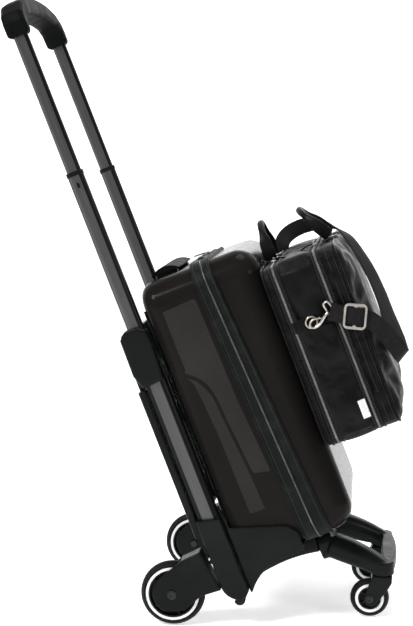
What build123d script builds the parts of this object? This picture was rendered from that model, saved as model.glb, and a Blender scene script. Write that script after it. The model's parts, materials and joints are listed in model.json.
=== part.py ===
from build123d import *
import os
from math import cos, radians, sin

# Four-wheeled rolling laptop case: a leaning trolley frame, a hard clamshell case and a laptop bag.
# Millimetres. +X is forward, +Y is the case's left side, +Z is up, and Z = 0 is the ground.
# The frame leans back, so most pieces are drawn in a leaning frame that starts under the rear axle:
# w runs forward across the tubes, u runs up along them.

LEAN = 21.0  # degrees that the tubes lean back
REAR_AXLE_X = -48.8

REAR_WHEEL_R = 52.5
REAR_WHEEL_WIDTH = 24.0
REAR_TRACK = 330.0
FRONT_WHEEL_R = 31.8
FRONT_WHEEL_WIDTH = 19.0
FRONT_TRACK = 194.0
WHEELBASE = 317.0
CASTER_TRAIL = 21.0

TUBE_W = 119.0  # w of every tube's centre line
TUBE_Y = 159.2
INNER_TUBE = (23.8, 14.4)
MID_TUBE = (26.8, 17.4)
OUTER_BORE = (29.2, 19.6)
OUTER_TUBE = (37.0, 23.0)
OUTER_TUBE_W = 117.0
TUBE_WALL = 1.2
OUTER_BOTTOM, OUTER_TOP = 24.0, 458.0
MID_BOTTOM, MID_TOP = 396.0, 732.0
INNER_BOTTOM, INNER_TOP = 672.0, 992.0

BRACKET_Y = (145.0, 180.0)  # inner and outer faces of the frame's brackets

CASE_HALF_WIDTH = 163.5
CASE_BOTTOM, CASE_TOP = 50.0, 530.0
CASE_REAR, CASE_FRONT = 141.0, 338.5
CASE_CORNER = 42.0
SHELL_WALL = 2.6
BAND_PROUD = 4.0  # the zip band stands this far out of the shells
SPLIT_W = 274.6  # w of the zip line where u is 0
SPLIT_SLOPE = 0.0444  # the zip line leans back by this much w for each u
BAND_REAR_W, BAND_REAR_SLOPE = 252.0, 0.0363
BAND_FRONT_W, BAND_FRONT_SLOPE = 300.0, 0.0650

BAG_HALF_WIDTH = 190.0
BAG_BOTTOM, BAG_TOP = 187.0, 486.0
BAG_REAR = 340.0
BAG_ZIP_1, BAG_ZIP_2 = 359.0, 428.5
BAG_FRONT = 474.0

SIDES = (("left", 1), ("right", -1))

os.makedirs("parts", exist_ok=True)
W_DIR = Vector(cos(radians(LEAN)), 0, sin(radians(LEAN)))
U_DIR = Vector(-sin(radians(LEAN)), 0, cos(radians(LEAN)))


def at(w, u, y=0.0):
    """The point at w, u in the leaning frame."""
    return Vector(REAR_AXLE_X, y, 0) + W_DIR * w + U_DIR * u


def across(u, w=TUBE_W, y=0.0):
    """A plane square to the tubes: its x is w and its y is +Y."""
    return Plane(at(w, u, y), x_dir=W_DIR, z_dir=U_DIR)


def side(y=0.0, w=0.0, u=0.0):
    """A plane seen from the right side: its x is w and its y is u."""
    return Plane(at(w, u, y), x_dir=W_DIR, z_dir=(0, -1, 0))


def facing(w, u=0.0):
    """A plane across the case: its x is +Y and its y is u."""
    return Plane(at(w, u), x_dir=(0, 1, 0), z_dir=W_DIR)


def level_side(y, x=0.0, z=0.0):
    """A level plane seen from the right side, from the ground under the rear axle."""
    return Plane((REAR_AXLE_X + x, y, z), x_dir=(1, 0, 0), z_dir=(0, -1, 0))


def save(piece, name):
    piece.part.label = name
    export_step(piece.part, f"parts/{name}.step")


def tube(size, bore, low, high, y, w=TUBE_W, bore_w=TUBE_W):
    """A straight flat-sided tube from u = low to u = high."""
    with BuildPart() as made:
        with BuildSketch(across(low, w, y)):
            RectangleRounded(*size, min(size) * 0.42)
            with Locations((bore_w - w, 0)):
                RectangleRounded(*bore, min(bore) * 0.40, mode=Mode.SUBTRACT)
        extrude(amount=high - low)
    return made


# ---------------------------------------------------------------- telescopic tubes
for name, sign in SIDES:
    y = sign * TUBE_Y
    save(tube(OUTER_TUBE, OUTER_BORE, OUTER_BOTTOM, OUTER_TOP, y, OUTER_TUBE_W), f"outer_tube_{name}")
    mid_bore = (MID_TUBE[0] - 2 * TUBE_WALL, MID_TUBE[1] - 2 * TUBE_WALL)
    save(tube(MID_TUBE, mid_bore, MID_BOTTOM, MID_TOP, y), f"mid_tube_{name}")
    inner_bore = (INNER_TUBE[0] - 2 * TUBE_WALL, INNER_TUBE[1] - 2 * TUBE_WALL)
    save(tube(INNER_TUBE, inner_bore, INNER_BOTTOM, INNER_TOP, y), f"inner_tube_{name}")


def sleeves(size, bore, low, high, name):
    """One short sleeve round each tube, both in one node."""
    with BuildPart() as made:
        for sign in (1, -1):
            with BuildSketch(across(low, TUBE_W, sign * TUBE_Y)):
                RectangleRounded(*size, min(size) * 0.40)
                RectangleRounded(*bore, min(bore) * 0.42, mode=Mode.SUBTRACT)
            extrude(amount=high - low)
    save(made, name)


bush_size = (OUTER_BORE[0] - 0.6, OUTER_BORE[1] - 0.6)
sleeves(bush_size, MID_TUBE, MID_BOTTOM, MID_BOTTOM + 22, "mid_tube_bushes")
collar_size = (MID_TUBE[0] + 1.6, MID_TUBE[1] + 1.6)
collar_bore = (INNER_TUBE[0] + 0.8, INNER_TUBE[1] + 0.8)
sleeves(collar_size, collar_bore, MID_TOP, MID_TOP + 7, "tube_collars")

with BuildPart() as lock_pins:
    for sign in (1, -1):
        pin_plane = Plane(at(TUBE_W, 716, sign * (TUBE_Y + MID_TUBE[1] / 2)), x_dir=W_DIR, z_dir=(0, sign, 0))
        with BuildSketch(pin_plane):
            SlotOverall(9, 4.4, rotation=90)
        extrude(amount=1.4)
save(lock_pins, "lock_pins")

ROD_R = 3.2
with BuildPart() as release_rods:
    for sign in (1, -1):
        with BuildSketch(across(INNER_BOTTOM + 6, TUBE_W, sign * TUBE_Y)):
            Circle(ROD_R)
        extrude(amount=INNER_TOP - INNER_BOTTOM - 6)
save(release_rods, "release_rods")

# ---------------------------------------------------------------- grip and its button
SOCKET_BOTTOM = 968.0
BAR_U = 1020.0  # the middle of the grip's bar at the centre plane
BUTTON_HALF_LENGTH = 31.0
with BuildPart() as grip:
    with BuildSketch(facing(TUBE_W - 20)):
        with BuildLine():
            outer_foot = (TUBE_Y + 11, SOCKET_BOTTOM)
            Polyline(outer_foot, (TUBE_Y + 12.5, 992), (TUBE_Y + 6, 1008), (TUBE_Y - 20, 1024), (90, 1034))
            Spline((90, 1034), (0, 1039), (-90, 1034))
            Polyline((-90, 1034), (-TUBE_Y + 20, 1024), (-TUBE_Y - 6, 1008), (-TUBE_Y - 12.5, 992))
            Line((-TUBE_Y - 12.5, 992), (-TUBE_Y - 11, SOCKET_BOTTOM))
            Line((-TUBE_Y - 11, SOCKET_BOTTOM), (-TUBE_Y + 11, SOCKET_BOTTOM))
            Polyline((-TUBE_Y + 11, SOCKET_BOTTOM), (-TUBE_Y + 17, 990), (-TUBE_Y + 34, 1000), (-90, 1004))
            Spline((-90, 1004), (0, 1008), (90, 1004))
            Polyline((90, 1004), (TUBE_Y - 34, 1000), (TUBE_Y - 17, 990), (TUBE_Y - 11, SOCKET_BOTTOM))
            Line((TUBE_Y - 11, SOCKET_BOTTOM), outer_foot)
        make_face()
    extrude(amount=38)
    fillet(grip.edges().filter_by(lambda e: abs((e @ 0.5 - at(TUBE_W - 20, 0)).dot(W_DIR)) < 0.01), 8)
    fillet(grip.edges().filter_by(lambda e: abs((e @ 0.5 - at(TUBE_W + 18, 0)).dot(W_DIR)) < 0.01), 8)
    for sign in (1, -1):
        with BuildSketch(across(SOCKET_BOTTOM, TUBE_W, sign * TUBE_Y)):
            RectangleRounded(*INNER_TUBE, min(INNER_TUBE) * 0.42)
        extrude(amount=INNER_TOP - SOCKET_BOTTOM, mode=Mode.SUBTRACT)
    with BuildSketch(across(BAR_U + 5, TUBE_W - 1)):
        SlotOverall(2 * BUTTON_HALF_LENGTH, 16, rotation=90)
    extrude(amount=40, mode=Mode.SUBTRACT)
save(grip, "grip")

with BuildPart() as grip_button:
    with BuildSketch(across(BAR_U + 10.5, TUBE_W - 1)):
        SlotOverall(2 * BUTTON_HALF_LENGTH - 0.8, 15.2, rotation=90)
    extrude(amount=10)
    fillet(grip_button.faces().sort_by(Axis((0, 0, 0), tuple(U_DIR)))[-1].edges(), 2)
save(grip_button, "grip_button")

with BuildPart() as button_spring:
    with BuildSketch(across(BAR_U + 5, TUBE_W - 1)):
        Circle(4)
        Circle(2.8, mode=Mode.SUBTRACT)
    extrude(amount=5.5)
save(button_spring, "button_spring")

# ---------------------------------------------------------------- frame brackets and panels
for name, sign in SIDES:
    middle = sign * sum(BRACKET_Y) / 2
    half = (BRACKET_Y[1] - BRACKET_Y[0]) / 2
    with BuildPart() as upper_bracket:
        with BuildSketch(side(middle)):
            with BuildLine():
                Polyline((133.5, 380), (136.5, 440), (134.0, 464), (122, 473), (103, 473), (95, 468))
                Polyline((95, 468), (90, 461), (89, 400), (93, 390), (97, 376), (133.5, 380))
            make_face()
        extrude(amount=half - 3, both=True)
        fillet(upper_bracket.edges().filter_by(Axis.Y), 3)
        outer_face = upper_bracket.faces().sort_by(Axis.Y)[-1 if sign > 0 else 0]
        fillet(outer_face.edges(), 3.5)
        with BuildSketch(across(OUTER_BOTTOM, OUTER_TUBE_W, sign * TUBE_Y)):
            RectangleRounded(*OUTER_TUBE, min(OUTER_TUBE) * 0.42)
        extrude(amount=OUTER_TOP - OUTER_BOTTOM, mode=Mode.SUBTRACT)
        with BuildSketch(across(OUTER_TOP, TUBE_W, sign * TUBE_Y)):
            RectangleRounded(*OUTER_BORE, min(OUTER_BORE) * 0.40)
        extrude(amount=40, mode=Mode.SUBTRACT)
    save(upper_bracket, f"upper_bracket_{name}")

    with BuildPart() as lower_bracket:
        with BuildSketch(side(middle)):
            with BuildLine():
                Polyline((97, 147), (135.5, 138), (137.5, 12), (130, 4), (121, 1.5))
                ThreePointArc((121, 1.5), (104.5, 12), (97, 32))
                Line((97, 32), (97, 147))
            make_face()
        extrude(amount=half - 1, both=True)
        outer_face = lower_bracket.faces().sort_by(Axis.Y)[-1 if sign > 0 else 0]
        fillet(outer_face.edges(), 2.5)
        with BuildSketch(across(OUTER_BOTTOM, OUTER_TUBE_W, sign * TUBE_Y)):
            RectangleRounded(*OUTER_TUBE, min(OUTER_TUBE) * 0.42)
        extrude(amount=OUTER_TOP - OUTER_BOTTOM, mode=Mode.SUBTRACT)
    save(lower_bracket, f"lower_bracket_{name}")

with BuildPart() as parking_feet:
    for sign in (1, -1):
        with BuildSketch(side(sign * sum(BRACKET_Y) / 2)):
            with Locations((117, 1.5)):
                Circle(9)
        extrude(amount=9, both=True)
    with BuildSketch(across(1.2, 110)):
        Rectangle(60, 400)
    extrude(amount=20, mode=Mode.SUBTRACT)
save(parking_feet, "parking_feet")

with BuildPart() as back_panel:
    with BuildSketch(across(118, 88.5)):
        RectangleRounded(8, 2 * BRACKET_Y[0] - 2, 3.5)
    extrude(amount=342)
    for sign in (1, -1):
        with BuildSketch(across(118, 91, sign * (BRACKET_Y[0] + 10))):
            RectangleRounded(12, 26, 3)
        extrude(amount=254)
    with BuildSketch(facing(70)):
        for low, high in ((165, 275), (300, 410)):
            with Locations((0, (low + high) / 2)):
                RectangleRounded(210, high - low, 18)
    extrude(amount=40, mode=Mode.SUBTRACT)
save(back_panel, "back_panel")

# ---------------------------------------------------------------- rear forks, axles and wheels
CHEEK = 5.0
CHEEK_GAP = REAR_WHEEL_WIDTH + 3.0
AXLE_R = 4.0
RUNNING = 0.05  # radial clearance of a turning fit
for name, sign in SIDES:
    wheel_y = sign * REAR_TRACK / 2
    with BuildPart() as rear_fork:
        with BuildSketch(level_side(wheel_y)):
            with BuildLine():
                Polyline((44.5, 123.5), (16, 109.5), (-21, 79))
                ThreePointArc((-21, 79), (-32, 50), (-12, 24))
                Polyline((-12, 24), (20, 27), (47, 50.5), (79.5, 61.5), (44.5, 123.5))
            make_face()
        extrude(amount=CHEEK_GAP / 2 + CHEEK, both=True)
        outer_face = rear_fork.faces().sort_by(Axis.Y)[-1 if sign > 0 else 0]
        fillet(outer_face.edges(), 3)
        with BuildSketch(level_side(wheel_y, 0, REAR_WHEEL_R)):
            Circle(REAR_WHEEL_R + 3.5)
        extrude(amount=CHEEK_GAP / 2, both=True, mode=Mode.SUBTRACT)
        with BuildSketch(side(wheel_y)):
            with Locations((147, 80)):
                Rectangle(100, 300)
        extrude(amount=60, both=True, mode=Mode.SUBTRACT)
        with BuildSketch(level_side(wheel_y, 0, REAR_WHEEL_R)):
            Circle(AXLE_R)
        extrude(amount=60, both=True, mode=Mode.SUBTRACT)
    save(rear_fork, f"rear_fork_{name}")

with BuildPart() as rear_axles:
    for sign in (1, -1):
        wheel_y = sign * REAR_TRACK / 2
        with BuildSketch(level_side(wheel_y, 0, REAR_WHEEL_R)):
            Circle(AXLE_R)
        extrude(amount=CHEEK_GAP / 2 + CHEEK, both=True)
        head_y = wheel_y + sign * (CHEEK_GAP / 2 + CHEEK)
        with BuildSketch(Plane((REAR_AXLE_X, head_y, REAR_WHEEL_R), x_dir=(1, 0, 0), z_dir=(0, sign, 0))):
            Circle(7.6)
            with PolarLocations(7.9, 8):
                Circle(1.1, mode=Mode.SUBTRACT)
        extrude(amount=2.6)
        nut_y = wheel_y - sign * (CHEEK_GAP / 2 + CHEEK)
        with BuildSketch(Plane((REAR_AXLE_X, nut_y, REAR_WHEEL_R), x_dir=(1, 0, 0), z_dir=(0, -sign, 0))):
            RegularPolygon(6.4, 6)
        extrude(amount=4)
save(rear_axles, "rear_axles")


def wheel(name, x, y, radius, width, bore_r, bead, ring_out, ring_in, hub_r):
    """A tyre, a rim whose hub has a bore of bore_r, and its two trim rings, each its own node."""
    half = width / 2
    rim_r = ring_out + 1.2
    centre = Plane((x, y, radius), x_dir=(1, 0, 0), z_dir=(0, -1, 0))
    profile = Plane((x, y, radius), x_dir=(1, 0, 0), z_dir=(0, 0, 1))
    turn = Axis((x, y, radius), (0, 1, 0))
    with BuildPart() as tyre:
        with BuildSketch(profile):
            with BuildLine():
                Line((rim_r, -half), (rim_r, half))
                Line((rim_r, half), (radius - bead, half))
                ThreePointArc((radius - bead, half), (radius, 0), (radius - bead, -half))
                Line((radius - bead, -half), (rim_r, -half))
            make_face()
        revolve(axis=turn)
    save(tyre, f"{name}_tyre")
    with BuildPart() as rim:
        with BuildSketch(centre):
            Circle(rim_r)
            Circle(ring_in - 2.5, mode=Mode.SUBTRACT)
        extrude(amount=half - 0.6, both=True)
        with BuildSketch(centre):
            Circle(ring_in - 1)
        extrude(amount=2.2, both=True)
        with BuildSketch(centre):
            Circle(hub_r)
        extrude(amount=half - 0.2, both=True)
        with BuildSketch(centre):
            for k in range(5):
                with PolarLocations((hub_r + ring_in - 2.5) / 2, 1, start_angle=72 * k):
                    Rectangle(ring_in - 2.5 - hub_r + 2, 2.4)
        extrude(amount=half - 2.5, both=True)
        for facing_side in (1, -1):
            outside_at = (x, y + facing_side * (half - 0.6), radius)
            outside = Plane(outside_at, x_dir=(1, 0, 0), z_dir=(0, facing_side, 0))
            with BuildSketch(outside):
                Circle(ring_out)
                Circle(ring_in, mode=Mode.SUBTRACT)
            extrude(amount=-1.2, mode=Mode.SUBTRACT)
        with BuildSketch(centre):
            Circle(bore_r)
        extrude(amount=half, both=True, mode=Mode.SUBTRACT)
    save(rim, f"{name}_rim")
    with BuildPart() as rings:
        for facing_side in (1, -1):
            inside_at = (x, y + facing_side * (half - 1.8), radius)
            inside = Plane(inside_at, x_dir=(1, 0, 0), z_dir=(0, facing_side, 0))
            with BuildSketch(inside):
                Circle(ring_out)
                Circle(ring_in, mode=Mode.SUBTRACT)
            extrude(amount=1.7)
    save(rings, f"{name}_trim_rings")


for name, sign in SIDES:
    wheel_y = sign * REAR_TRACK / 2
    bearing_r = AXLE_R + 5
    wheel(f"rear_{name}", REAR_AXLE_X, wheel_y, REAR_WHEEL_R, REAR_WHEEL_WIDTH, bearing_r, 6, 43.3, 39.0, 14)
    with BuildPart() as bearings:
        for end in (1, -1):
            face = wheel_y + end * REAR_WHEEL_WIDTH / 2
            with BuildSketch(Plane((REAR_AXLE_X, face, REAR_WHEEL_R), x_dir=(1, 0, 0), z_dir=(0, end, 0))):
                Circle(bearing_r)
                Circle(AXLE_R + RUNNING, mode=Mode.SUBTRACT)
            extrude(amount=-8)
    save(bearings, f"rear_{name}_bearings")

# ---------------------------------------------------------------- cradle and front yoke
FLOOR_TOP = CASE_BOTTOM - 0.4
PANEL_END = 245.0
YOKE_W = 258.0  # w where the yoke is bolted to the cradle
with BuildPart() as base_cradle:
    with BuildSketch(side()):
        with BuildLine():
            Polyline((138, 118), (147, 116), (232, 90), (PANEL_END, 74), (PANEL_END, 43), (219, 41))
            Spline((219, 41), (184, 37), (156, 22), (141, 6))
            Polyline((141, 6), (138, 6), (138, 118))
        make_face()
    extrude(amount=169.5, both=True)
    with BuildSketch(across(FLOOR_TOP, 200)):
        Rectangle(200, 2 * CASE_HALF_WIDTH + 1)
    extrude(amount=90, mode=Mode.SUBTRACT)
    with BuildSketch(across(-20, 196)):
        RectangleRounded(84, 2 * (BRACKET_Y[0] - 6), 12)
    extrude(amount=62, mode=Mode.SUBTRACT)
    plate = ((139.5, 300, 18, 27), (200, 250, 20, 34), (YOKE_W, 200, 28, 28))
    for w, width, height, middle in plate:
        with BuildSketch(facing(w, middle)):
            RectangleRounded(width, height, 7)
    loft()
save(base_cradle, "base_cradle")

STEM_X = WHEELBASE + CASTER_TRAIL
HOUSING_BOTTOM, HOUSING_TOP = 70.5, 93.0
STEM_R = 5.0
SWIVEL_R = 10.0


def leg_stations(sign):
    """x from the rear axle, y, z, width and height of a leg's sections, from its root to its stem."""
    return (
        (254, 80 * sign, 114, 46, 38),
        (286, 85 * sign, 104, 44, 40),
        (318, 92 * sign, 92, 39, 33),
        (STEM_X + 4, FRONT_TRACK / 2 * sign, 82, 36, 24),
    )


with BuildPart() as front_yoke:
    for sign in (1, -1):
        stations = leg_stations(sign)
        for k, (x, y, z, width, height) in enumerate(stations):
            before, after = stations[max(k - 1, 0)], stations[min(k + 1, 3)]
            along = Vector(*(after[i] - before[i] for i in range(3)))
            across_leg = along.cross(Vector(0, 0, 1))
            with BuildSketch(Plane((REAR_AXLE_X + x, y, z), x_dir=across_leg, z_dir=along)):
                RectangleRounded(width, height, min(width, height) * 0.44)
        loft()
    with BuildSketch(facing(YOKE_W + 0.1, 18)):
        RectangleRounded(196, 42, 16)
    extrude(amount=26)
    with BuildSketch(Plane((REAR_AXLE_X + 349, 0, 82.5))):
        with BuildLine():
            Polyline((-9, -97), (-12, 0), (-9, 97), (6, 97))
            ThreePointArc((6, 97), (13, 0), (6, -97))
            Line((6, -97), (-9, -97))
        make_face()
    extrude(amount=10.5, both=True)
    for sign in (1, -1):
        with BuildSketch(Plane((REAR_AXLE_X + STEM_X, sign * FRONT_TRACK / 2, HOUSING_BOTTOM))):
            Circle(19)
        extrude(amount=HOUSING_TOP - HOUSING_BOTTOM)
    with BuildSketch(Plane((REAR_AXLE_X + STEM_X, 0, 0))):
        Rectangle(120, 300)
    extrude(amount=HOUSING_BOTTOM, mode=Mode.SUBTRACT)
    for sign in (1, -1):
        with BuildSketch(Plane((REAR_AXLE_X + STEM_X, sign * FRONT_TRACK / 2, HOUSING_BOTTOM))):
            Circle(SWIVEL_R)
        extrude(amount=16, mode=Mode.SUBTRACT)
    with BuildSketch(facing(YOKE_W, 18)):
        Rectangle(400, 100)
    extrude(amount=-40, mode=Mode.SUBTRACT)
    with BuildSketch(across(FLOOR_TOP - 6, 280)):
        Rectangle(160, 400)
    extrude(amount=100, mode=Mode.SUBTRACT)
save(front_yoke, "front_yoke")

with BuildPart() as swivel_bearings:
    for sign in (1, -1):
        with BuildSketch(Plane((REAR_AXLE_X + STEM_X, sign * FRONT_TRACK / 2, HOUSING_BOTTOM))):
            Circle(SWIVEL_R)
            Circle(STEM_R + RUNNING, mode=Mode.SUBTRACT)
        extrude(amount=15)
save(swivel_bearings, "swivel_bearings")

# ---------------------------------------------------------------- casters
FORK_GAP = FRONT_WHEEL_WIDTH + 3.0
FORK_ARM = 4.0
CROWN_BOTTOM, CROWN_TOP = FRONT_WHEEL_R * 2 + 1.2, HOUSING_BOTTOM - 0.5
FRONT_AXLE_R = 3.0
for name, sign in SIDES:
    wheel_y = sign * FRONT_TRACK / 2
    with BuildPart() as caster_fork:
        with BuildSketch(level_side(wheel_y)):
            with BuildLine():
                Polyline((321, CROWN_TOP), (354, CROWN_TOP), (353, 58), (345, 45), (331, 27.5))
                ThreePointArc((331, 27.5), (317, 19.5), (307.5, 33))
                Line((307.5, 33), (321, CROWN_TOP))
            make_face()
        extrude(amount=FORK_GAP / 2 + FORK_ARM, both=True)
        outer_faces = caster_fork.faces().sort_by(Axis.Y)
        fillet(outer_faces[0].edges() + outer_faces[-1].edges(), 2.2)
        with BuildSketch(Plane((REAR_AXLE_X + WHEELBASE, wheel_y, 0))):
            Rectangle(120, FORK_GAP)
        extrude(amount=CROWN_BOTTOM, mode=Mode.SUBTRACT)
        with BuildSketch(level_side(wheel_y, WHEELBASE, FRONT_WHEEL_R)):
            Circle(FRONT_AXLE_R)
        extrude(amount=40, both=True, mode=Mode.SUBTRACT)
        with BuildSketch(Plane((REAR_AXLE_X + STEM_X, wheel_y, 0))):
            Circle(STEM_R)
        extrude(amount=CROWN_TOP + 10, mode=Mode.SUBTRACT)
    save(caster_fork, f"caster_fork_{name}")

    with BuildPart() as caster_stem:
        with BuildSketch(Plane((REAR_AXLE_X + STEM_X, wheel_y, CROWN_BOTTOM))):
            Circle(STEM_R)
        extrude(amount=HOUSING_BOTTOM + 14 - CROWN_BOTTOM)
    save(caster_stem, f"caster_stem_{name}")

    with BuildPart() as front_axle:
        with BuildSketch(level_side(wheel_y, WHEELBASE, FRONT_WHEEL_R)):
            Circle(FRONT_AXLE_R)
        extrude(amount=FORK_GAP / 2 + FORK_ARM, both=True)
        for end in (1, -1):
            head_y = wheel_y + end * (FORK_GAP / 2 + FORK_ARM)
            head = Plane((REAR_AXLE_X + WHEELBASE, head_y, FRONT_WHEEL_R), x_dir=(1, 0, 0), z_dir=(0, end, 0))
            with BuildSketch(head):
                Circle(6.6)
                with PolarLocations(6.9, 8):
                    Circle(1.0, mode=Mode.SUBTRACT)
            extrude(amount=2)
    save(front_axle, f"front_axle_{name}")
    bore_r = FRONT_AXLE_R + RUNNING
    wheel_x = REAR_AXLE_X + WHEELBASE
    wheel(f"front_{name}", wheel_x, wheel_y, FRONT_WHEEL_R, FRONT_WHEEL_WIDTH, bore_r, 5, 23.5, 18.9, 8)

# ---------------------------------------------------------------- hard case
CASE_MIDDLE = (CASE_BOTTOM + CASE_TOP) / 2
REAR_EDGE, FRONT_EDGE = 24.0, 36.0  # rounding of the shells' outer edges


def slanted(w_at_ground, slope):
    """A plane across the case whose w falls by slope for each u."""
    return Plane(at(w_at_ground, 0), x_dir=(0, 1, 0), z_dir=W_DIR + U_DIR * slope)


def case_block(grow):
    """The case's outer form, grown by this much on every face."""
    width = 2 * (CASE_HALF_WIDTH + grow)
    height = CASE_TOP - CASE_BOTTOM + 2 * grow
    with BuildPart() as block:
        with BuildSketch(facing(CASE_REAR - grow, CASE_MIDDLE)):
            RectangleRounded(width, height, CASE_CORNER + grow)
        extrude(amount=CASE_FRONT - CASE_REAR + 2 * grow)
        ends = block.faces().sort_by(Axis((0, 0, 0), tuple(W_DIR)))
        fillet(ends[0].edges(), REAR_EDGE + grow)
        fillet(ends[-1].edges(), FRONT_EDGE + grow)
    return block.part


def case_ring(outer, inner):
    """A straight ring round the case, from outer to inner distance off its outline."""
    with BuildPart() as ring:
        with BuildSketch(facing(CASE_REAR, CASE_MIDDLE)):
            for grow, mode in ((outer, Mode.ADD), (inner, Mode.SUBTRACT)):
                width = 2 * (CASE_HALF_WIDTH + grow)
                height = CASE_TOP - CASE_BOTTOM + 2 * grow
                RectangleRounded(width, height, CASE_CORNER + grow, mode=mode)
        extrude(amount=CASE_FRONT - CASE_REAR)
    return ring.part


SPLIT_GAP = 0.3
REAR_CUT = slanted(BAND_REAR_W, BAND_REAR_SLOPE)
FRONT_CUT = slanted(BAND_FRONT_W, BAND_FRONT_SLOPE)
MOUNT_Y = 74.0
HANDLE_W = 186.0
HANDLE_LIFT = 16.0

with BuildPart() as case_rear_shell:
    add(case_block(0))
    add(case_block(-SHELL_WALL), mode=Mode.SUBTRACT)
    split(bisect_by=REAR_CUT, keep=Keep.BOTTOM)
    with BuildSketch(across(CASE_TOP - 20, HANDLE_W)):
        for y in (MOUNT_Y, -MOUNT_Y):
            with Locations((0, y)):
                Rectangle(29, 4.4)
    extrude(amount=40, mode=Mode.SUBTRACT)
save(case_rear_shell, "case_rear_shell")

with BuildPart() as case_front_shell:
    add(case_block(0))
    add(case_block(-SHELL_WALL), mode=Mode.SUBTRACT)
    split(bisect_by=FRONT_CUT, keep=Keep.TOP)
save(case_front_shell, "case_front_shell")

with BuildPart() as zip_band_rear:
    add(case_ring(BAND_PROUD, -SHELL_WALL))
    split(bisect_by=REAR_CUT, keep=Keep.TOP)
    split(bisect_by=slanted(SPLIT_W - SPLIT_GAP, SPLIT_SLOPE), keep=Keep.BOTTOM)
save(zip_band_rear, "zip_band_rear")

with BuildPart() as zip_band_front:
    add(case_ring(BAND_PROUD, -SHELL_WALL))
    split(bisect_by=slanted(SPLIT_W + SPLIT_GAP, SPLIT_SLOPE), keep=Keep.TOP)
    split(bisect_by=FRONT_CUT, keep=Keep.BOTTOM)
save(zip_band_front, "zip_band_front")

with BuildPart() as carry_handle_mounts:
    for y in (MOUNT_Y, -MOUNT_Y):
        with BuildSketch(across(CASE_TOP, HANDLE_W, y)):
            RectangleRounded(38, 22, 6)
            Rectangle(29, 4.4, mode=Mode.SUBTRACT)
        extrude(amount=4)
save(carry_handle_mounts, "carry_handle_mounts")

with BuildPart() as carry_handle:
    with BuildSketch(side()):
        with BuildLine():
            Line((162, CASE_TOP + 4.6), (210, CASE_TOP + 4.6))
            Line((210, CASE_TOP + 4.6), (210, CASE_TOP + 6))
            ThreePointArc((210, CASE_TOP + 6), (HANDLE_W, CASE_TOP + 15), (162, CASE_TOP + 6))
            Line((162, CASE_TOP + 6), (162, CASE_TOP + 4.6))
        make_face()
    extrude(amount=MOUNT_Y + 14, both=True)
    with BuildSketch(across(CASE_TOP + 6, HANDLE_W)):
        for y in (MOUNT_Y, -MOUNT_Y):
            with Locations((0, y)):
                Rectangle(28, 3.4)
    extrude(amount=-(HANDLE_LIFT + 18))
save(carry_handle, "carry_handle")

# ---------------------------------------------------------------- laptop bag
BAG_MIDDLE = (BAG_BOTTOM + BAG_TOP) / 2


def bag_block(low_w, high_w, corner, edge, name):
    """A closed soft body of the bag between two w, its front edges rounded."""
    with BuildPart() as block:
        with BuildSketch(facing(low_w, BAG_MIDDLE)):
            RectangleRounded(2 * BAG_HALF_WIDTH, BAG_TOP - BAG_BOTTOM, corner)
        extrude(amount=high_w - low_w)
        if edge:
            fillet(block.faces().sort_by(Axis((0, 0, 0), tuple(W_DIR)))[-1].edges(), edge)
    save(block, name)


bag_block(BAG_REAR, BAG_ZIP_1, 22, 0, "bag_rear_body")
bag_block(BAG_ZIP_1, BAG_ZIP_2, 22, 0, "bag_main_body")
bag_block(BAG_ZIP_2, BAG_FRONT, 22, 14, "bag_front_body")

RING_W, RING_U = 384.0, 384.0  # where the shoulder strap's rings hang on the bag's ends
RING_Y = BAG_HALF_WIDTH + 4.5
with BuildPart() as strap_rings:
    for sign in (1, -1):
        with BuildSketch(side(sign * BAG_HALF_WIDTH)):
            with Locations((RING_W - 14, RING_U)):
                RectangleRounded(26, 20, 4)
        extrude(amount=-2.5 * sign)
        with BuildSketch(side(sign * RING_Y)):
            with Locations((RING_W + 4, RING_U)):
                Circle(12)
                Circle(8.6, mode=Mode.SUBTRACT)
        extrude(amount=1.7, both=True)
save(strap_rings, "strap_rings")

HOOK_Y = BAG_HALF_WIDTH + 9
HOOK_PATHS = ((1, (RING_W + 6, RING_U + 19), 100), (-1, (RING_W + 19, RING_U + 3), 8))


def turned_side(y, w, u, angle):
    """A side plane at a point, its x turned up from w by an angle in degrees."""
    turn = radians(angle)
    return Plane(at(w, u, y), x_dir=W_DIR * cos(turn) + U_DIR * sin(turn), z_dir=(0, -1, 0))


with BuildPart() as snap_hooks:
    for sign, start, angle in HOOK_PATHS:
        with BuildSketch(turned_side(sign * HOOK_Y, *start, angle)):
            with Locations((-3, 0)):
                SlotOverall(22, 14)
                SlotOverall(15, 7.5, mode=Mode.SUBTRACT)
            with Locations((11, 0)):
                Rectangle(8, 6)
            with Locations((18, 0)):
                RectangleRounded(9, 32, 3)
        extrude(amount=2, both=True)
save(snap_hooks, "snap_hooks")

STRAP_WIDTH, STRAP_THICK = 28.0, 2.2
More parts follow.
